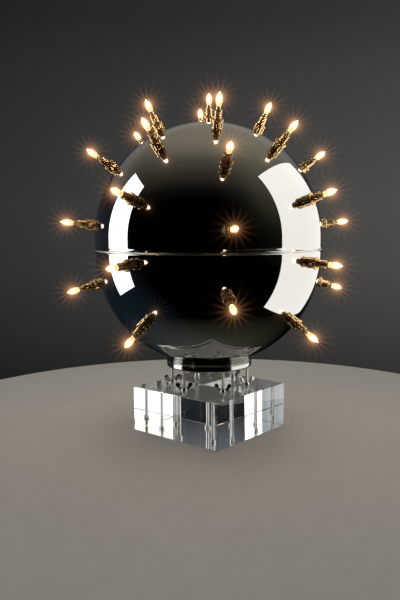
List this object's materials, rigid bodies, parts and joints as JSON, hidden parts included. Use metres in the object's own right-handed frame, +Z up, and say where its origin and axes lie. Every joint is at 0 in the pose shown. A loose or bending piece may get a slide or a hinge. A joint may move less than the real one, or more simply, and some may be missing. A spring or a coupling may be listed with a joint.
{
  "type": "sculptural table lamp",
  "caption": "Table lamp: a mirror-polished hollow ball set with radial screw-in flame bulbs in turned holders, on threaded studs over a clear square block.",
  "frame": {"origin": "centre of the clear block's underside, where the lamp stands", "axes": "+Z up through the block, the neck and the ball; the block's sides face along X and Y"},
  "size_m": [0.5804, 0.5806, 0.6778],
  "materials": {
    "clear_block": "clear, flame-polished",
    "mirror_shell": "mirror polished",
    "bright_metal": "bright plated",
    "steel": "zinc plated",
    "turned_brass": "turned and polished",
    "insulator": "moulded",
    "terminal": "moulded",
    "lamp_glass": "clear, lit warm white"
  },
  "bodies": {
    "base": {"acrylic_block": "clear_block", "threaded_studs": "steel", "stud_washers": "steel", "base_nuts": "steel", "mounting_flange": "bright_metal", "neck_collar": "bright_metal", "neck_clamp_ring": "steel", "neck_screws": "steel", "lower_shell": "mirror_shell", "seam_joint_ring": "steel", "cable_inlet": "steel", "terminal_block": "terminal", "holder_bodies_lower": "turned_brass", "holder_sleeves_lower": "turned_brass", "holder_inserts_lower": "insulator", "holder_nuts_lower": "turned_brass"},
    "upper_ball": {"upper_shell": "mirror_shell", "holder_bodies_upper": "turned_brass", "holder_sleeves_upper": "turned_brass", "holder_inserts_upper": "insulator", "holder_nuts_upper": "turned_brass"},
    "nut_1": {"wing_nut_1": "bright_metal"},
    "nut_2": {"wing_nut_2": "bright_metal"},
    "nut_3": {"wing_nut_3": "bright_metal"},
    "nut_4": {"wing_nut_4": "bright_metal"},
    "nut_5": {"wing_nut_5": "bright_metal"},
    "nut_6": {"wing_nut_6": "bright_metal"},
    "lamp_01": {"bulb_01": "lamp_glass"},
    "lamp_02": {"bulb_02": "lamp_glass"},
    "lamp_03": {"bulb_03": "lamp_glass"},
    "lamp_04": {"bulb_04": "lamp_glass"},
    "lamp_05": {"bulb_05": "lamp_glass"},
    "lamp_06": {"bulb_06": "lamp_glass"},
    "lamp_07": {"bulb_07": "lamp_glass"},
    "lamp_08": {"bulb_08": "lamp_glass"},
    "lamp_09": {"bulb_09": "lamp_glass"},
    "lamp_10": {"bulb_10": "lamp_glass"},
    "lamp_11": {"bulb_11": "lamp_glass"},
    "lamp_12": {"bulb_12": "lamp_glass"},
    "lamp_13": {"bulb_13": "lamp_glass"},
    "lamp_14": {"bulb_14": "lamp_glass"},
    "lamp_15": {"bulb_15": "lamp_glass"},
    "lamp_16": {"bulb_16": "lamp_glass"},
    "lamp_17": {"bulb_17": "lamp_glass"},
    "lamp_18": {"bulb_18": "lamp_glass"},
    "lamp_19": {"bulb_19": "lamp_glass"},
    "lamp_20": {"bulb_20": "lamp_glass"},
    "lamp_21": {"bulb_21": "lamp_glass"},
    "lamp_22": {"bulb_22": "lamp_glass"},
    "lamp_23": {"bulb_23": "lamp_glass"},
    "lamp_24": {"bulb_24": "lamp_glass"},
    "lamp_25": {"bulb_25": "lamp_glass"},
    "lamp_26": {"bulb_26": "lamp_glass"},
    "lamp_27": {"bulb_27": "lamp_glass"},
    "lamp_28": {"bulb_28": "lamp_glass"},
    "lamp_29": {"bulb_29": "lamp_glass"},
    "lamp_30": {"bulb_30": "lamp_glass"},
    "lamp_31": {"bulb_31": "lamp_glass"},
    "lamp_32": {"bulb_32": "lamp_glass"},
    "lamp_33": {"bulb_33": "lamp_glass"}
  },
  "joints": [
    {"name": "upper_ball_lift", "type": "slide", "parent": "base", "child": "upper_ball", "axis": [0, 0, 1], "range_m": [0, 0.1]},
    {"name": "wing_nut_1_turn", "type": "hinge", "parent": "base", "child": "nut_1", "pos_m": [0.0666, 0.03845, 0.0912], "axis": [0, 0, 1], "continuous": true},
    {"name": "wing_nut_2_turn", "type": "hinge", "parent": "base", "child": "nut_2", "pos_m": [0, 0.0769, 0.0912], "axis": [0, 0, 1], "continuous": true},
    {"name": "wing_nut_3_turn", "type": "hinge", "parent": "base", "child": "nut_3", "pos_m": [-0.0666, 0.03845, 0.0912], "axis": [0, 0, 1], "continuous": true},
    {"name": "wing_nut_4_turn", "type": "hinge", "parent": "base", "child": "nut_4", "pos_m": [-0.0666, -0.03845, 0.0912], "axis": [0, 0, 1], "continuous": true},
    {"name": "wing_nut_5_turn", "type": "hinge", "parent": "base", "child": "nut_5", "pos_m": [0, -0.0769, 0.0912], "axis": [0, 0, 1], "continuous": true},
    {"name": "wing_nut_6_turn", "type": "hinge", "parent": "base", "child": "nut_6", "pos_m": [0.0666, -0.03845, 0.0912], "axis": [0, 0, 1], "continuous": true},
    {"name": "bulb_01_unscrew", "type": "slide", "parent": "upper_ball", "child": "lamp_01", "axis": [0.6955, 0.0278, 0.718], "range_m": [0, 0.018]},
    {"name": "bulb_02_unscrew", "type": "slide", "parent": "upper_ball", "child": "lamp_02", "axis": [-0.02, 0.6543, 0.756], "range_m": [0, 0.018]},
    {"name": "bulb_03_unscrew", "type": "slide", "parent": "upper_ball", "child": "lamp_03", "axis": [-0.6469, -0.0619, 0.7601], "range_m": [0, 0.018]},
    {"name": "bulb_04_unscrew", "type": "slide", "parent": "upper_ball", "child": "lamp_04", "axis": [0.0686, -0.6884, 0.7221], "range_m": [0, 0.018]},
    {"name": "bulb_05_unscrew", "type": "slide", "parent": "upper_ball", "child": "lamp_05", "axis": [0.9552, 0.0557, 0.2907], "range_m": [0, 0.018]},
    {"name": "bulb_06_unscrew", "type": "slide", "parent": "upper_ball", "child": "lamp_06", "axis": [-0.0518, 0.9375, 0.3442], "range_m": [0, 0.018]},
    {"name": "bulb_07_unscrew", "type": "slide", "parent": "upper_ball", "child": "lamp_07", "axis": [-0.9341, -0.0705, 0.35], "range_m": [0, 0.018]},
    {"name": "bulb_08_unscrew", "type": "slide", "parent": "upper_ball", "child": "lamp_08", "axis": [0.0729, -0.9522, 0.2965], "range_m": [0, 0.018]},
    {"name": "bulb_09_unscrew", "type": "slide", "parent": "upper_ball", "child": "lamp_09", "axis": [0.3081, 0.2971, 0.9037], "range_m": [0, 0.018]},
    {"name": "bulb_10_unscrew", "type": "slide", "parent": "upper_ball", "child": "lamp_10", "axis": [-0.2879, 0.2573, 0.9224], "range_m": [0, 0.018]},
    {"name": "bulb_11_unscrew", "type": "slide", "parent": "upper_ball", "child": "lamp_11", "axis": [-0.2486, -0.3389, 0.9074], "range_m": [0, 0.018]},
    {"name": "bulb_12_unscrew", "type": "slide", "parent": "upper_ball", "child": "lamp_12", "axis": [0.3475, -0.299, 0.8887], "range_m": [0, 0.018]},
    {"name": "bulb_13_unscrew", "type": "slide", "parent": "upper_ball", "child": "lamp_13", "axis": [0.554, 0.5976, 0.5796], "range_m": [0, 0.018]},
    {"name": "bulb_14_unscrew", "type": "slide", "parent": "upper_ball", "child": "lamp_14", "axis": [-0.5913, 0.5211, 0.6155], "range_m": [0, 0.018]},
    {"name": "bulb_15_unscrew", "type": "slide", "parent": "upper_ball", "child": "lamp_15", "axis": [-0.5157, -0.6245, 0.5866], "range_m": [0, 0.018]},
    {"name": "bulb_16_unscrew", "type": "slide", "parent": "upper_ball", "child": "lamp_16", "axis": [0.6297, -0.548, 0.5507], "range_m": [0, 0.018]},
    {"name": "bulb_17_unscrew", "type": "slide", "parent": "upper_ball", "child": "lamp_17", "axis": [0.6582, 0.7454, 0.1053], "range_m": [0, 0.018]},
    {"name": "bulb_18_unscrew", "type": "slide", "parent": "upper_ball", "child": "lamp_18", "axis": [-0.7436, 0.6517, 0.1493], "range_m": [0, 0.018]},
    {"name": "bulb_19_unscrew", "type": "slide", "parent": "upper_ball", "child": "lamp_19", "axis": [-0.651, -0.7504, 0.114], "range_m": [0, 0.018]},
    {"name": "bulb_20_unscrew", "type": "slide", "parent": "upper_ball", "child": "lamp_20", "axis": [0.7508, -0.6568, 0.07], "range_m": [0, 0.018]},
    {"name": "bulb_21_unscrew", "type": "slide", "parent": "upper_ball", "child": "lamp_21", "axis": [-0.0847, 0.1169, 0.9895], "range_m": [0, 0.018]},
    {"name": "bulb_22_unscrew", "type": "slide", "parent": "base", "child": "lamp_22", "axis": [0.9952, 0.0675, -0.0714], "range_m": [0, 0.018]},
    {"name": "bulb_23_unscrew", "type": "slide", "parent": "base", "child": "lamp_23", "axis": [-0.067, 0.9956, -0.0663], "range_m": [0, 0.018]},
    {"name": "bulb_24_unscrew", "type": "slide", "parent": "base", "child": "lamp_24", "axis": [-0.9956, -0.0655, -0.0663], "range_m": [0, 0.018]},
    {"name": "bulb_25_unscrew", "type": "slide", "parent": "base", "child": "lamp_25", "axis": [0.0645, -0.9957, -0.0663], "range_m": [0, 0.018]},
    {"name": "bulb_26_unscrew", "type": "slide", "parent": "base", "child": "lamp_26", "axis": [0.8303, 0.0688, -0.5531], "range_m": [0, 0.018]},
    {"name": "bulb_27_unscrew", "type": "slide", "parent": "base", "child": "lamp_27", "axis": [-0.0733, 0.8599, -0.5052], "range_m": [0, 0.018]},
    {"name": "bulb_28_unscrew", "type": "slide", "parent": "base", "child": "lamp_28", "axis": [-0.8649, -0.0445, -0.4999], "range_m": [0, 0.018]},
    {"name": "bulb_29_unscrew", "type": "slide", "parent": "base", "child": "lamp_29", "axis": [0.0387, -0.8356, -0.5479], "range_m": [0, 0.018]},
    {"name": "bulb_30_unscrew", "type": "slide", "parent": "base", "child": "lamp_30", "axis": [0.6248, 0.7303, -0.2762], "range_m": [0, 0.018]},
    {"name": "bulb_31_unscrew", "type": "slide", "parent": "base", "child": "lamp_31", "axis": [-0.7323, 0.6396, -0.2337], "range_m": [0, 0.018]},
    {"name": "bulb_32_unscrew", "type": "slide", "parent": "base", "child": "lamp_32", "axis": [-0.6427, -0.7178, -0.2679], "range_m": [0, 0.018]},
    {"name": "bulb_33_unscrew", "type": "slide", "parent": "base", "child": "lamp_33", "axis": [0.7144, -0.6271, -0.3105], "range_m": [0, 0.018]}
  ]
}
